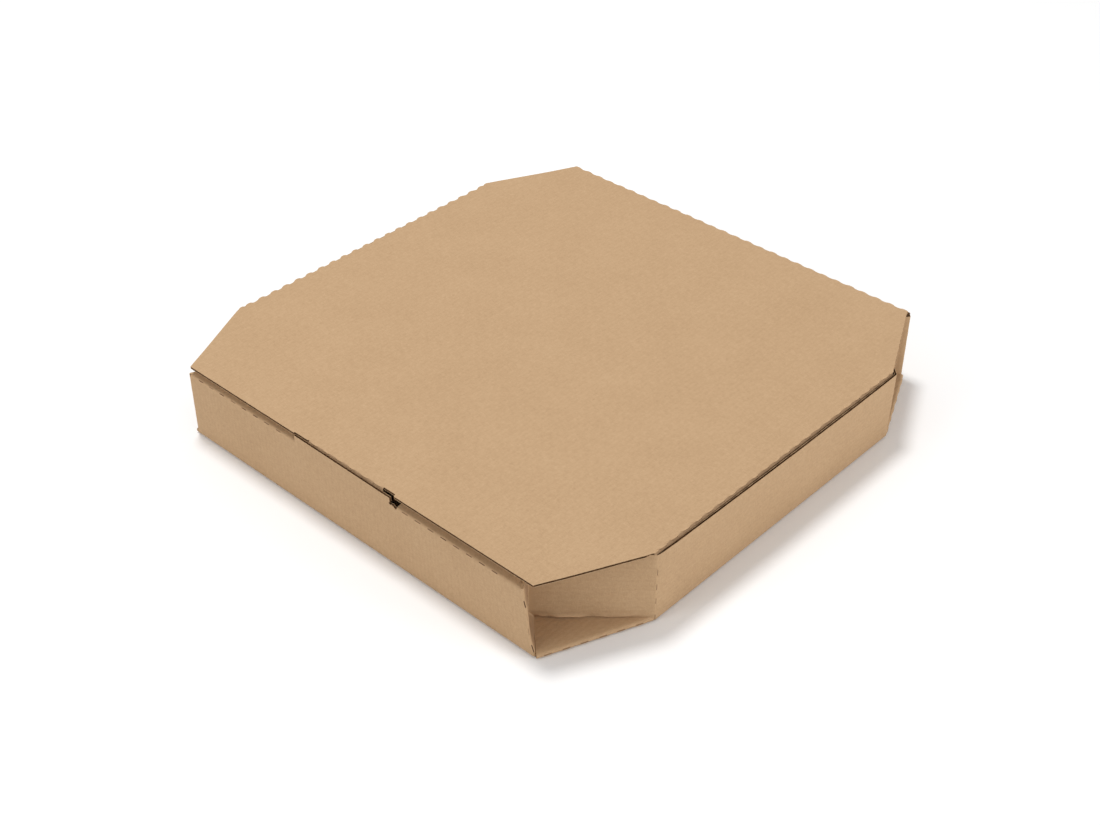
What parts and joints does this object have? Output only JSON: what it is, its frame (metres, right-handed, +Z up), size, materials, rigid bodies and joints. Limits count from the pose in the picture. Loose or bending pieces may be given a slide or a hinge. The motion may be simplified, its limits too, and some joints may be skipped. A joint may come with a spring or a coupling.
{
  "type": "pizza box",
  "caption": "Plain kraft corrugated pizza box, eight-sided in plan, with pushed-in corners, a rolled front wall and a hinged lid with side flaps and a tuck tab.",
  "frame": {"origin": "centre of the box's outline, on the surface that the box stands on", "axes": "+Z up through the lid; -Y the front with the tuck tab; +Y the hinge side; +X the right side seen from the front"},
  "size_m": [0.3654, 0.3642, 0.053],
  "materials": {
    "kraft_board": "matt unprinted kraft paper on both faces, fine fibres, pale fuzzy raw edges"
  },
  "bodies": {
    "tray": {"tray": "kraft_board"},
    "lid": {"lid": "kraft_board"}
  },
  "joints": [
    {"name": "lid_hinge", "type": "hinge", "parent": "tray", "child": "lid", "pos_m": [0, 0.18205, 0.053], "axis": [-1, 0, 0], "range_deg": [0, 188]}
  ]
}
